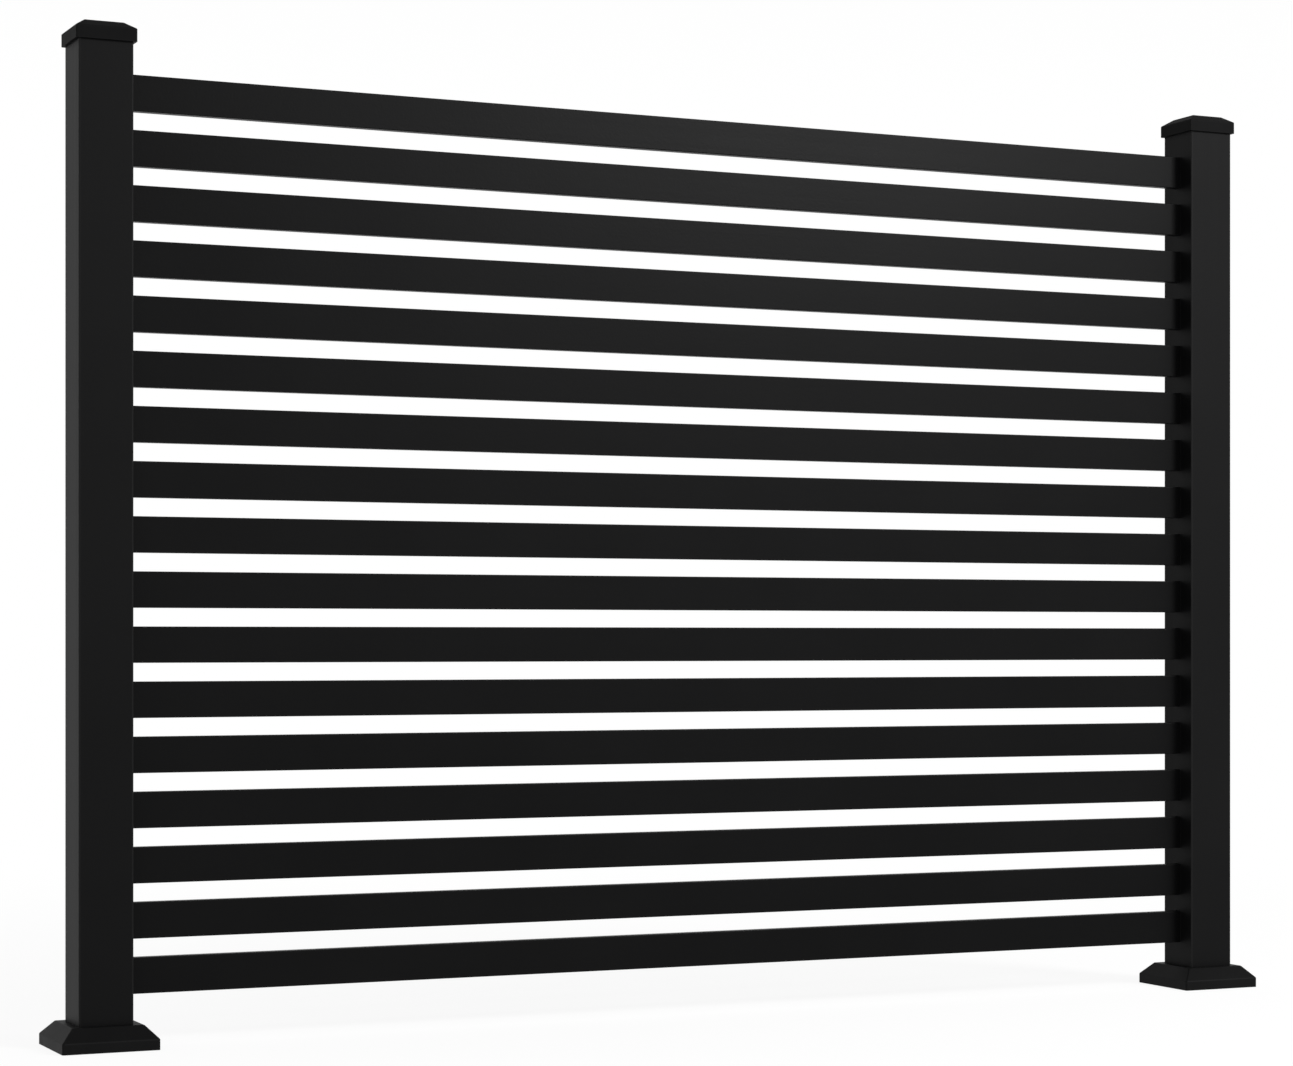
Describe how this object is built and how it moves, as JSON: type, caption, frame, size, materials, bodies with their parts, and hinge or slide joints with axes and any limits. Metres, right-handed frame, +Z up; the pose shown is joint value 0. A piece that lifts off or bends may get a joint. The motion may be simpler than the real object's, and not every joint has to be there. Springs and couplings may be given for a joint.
{
  "type": "aluminium slat fence panel",
  "caption": "Slatted aluminium pool fence panel: level hollow slats set into square posts with low pyramid caps, on base plates under square covers.",
  "frame": {"origin": "centre of the left base plate's underside, on the ground", "axes": "+X along the panel from the left post to the right post, +Y to the back, +Z up"},
  "size_m": [1.664, 0.116, 1.2],
  "materials": {
    "slat": "satin black powder coat",
    "post": "satin black powder coat",
    "cap": "satin black powder coat",
    "base_cover": "satin black powder coat",
    "base_plate": "black powder coat, flat"
  },
  "bodies": {
    "root": {"slat_01": "slat", "slat_02": "slat", "slat_03": "slat", "slat_04": "slat", "slat_05": "slat", "slat_06": "slat", "slat_07": "slat", "slat_08": "slat", "slat_09": "slat", "slat_10": "slat", "slat_11": "slat", "slat_12": "slat", "slat_13": "slat", "slat_14": "slat", "slat_15": "slat", "slat_16": "slat", "slat_17": "slat", "left_post": "post", "right_post": "post", "left_post_cap": "cap", "right_post_cap": "cap", "left_base_cover": "base_cover", "right_base_cover": "base_cover", "left_base_plate": "base_plate", "right_base_plate": "base_plate"}
  },
  "joints": []
}
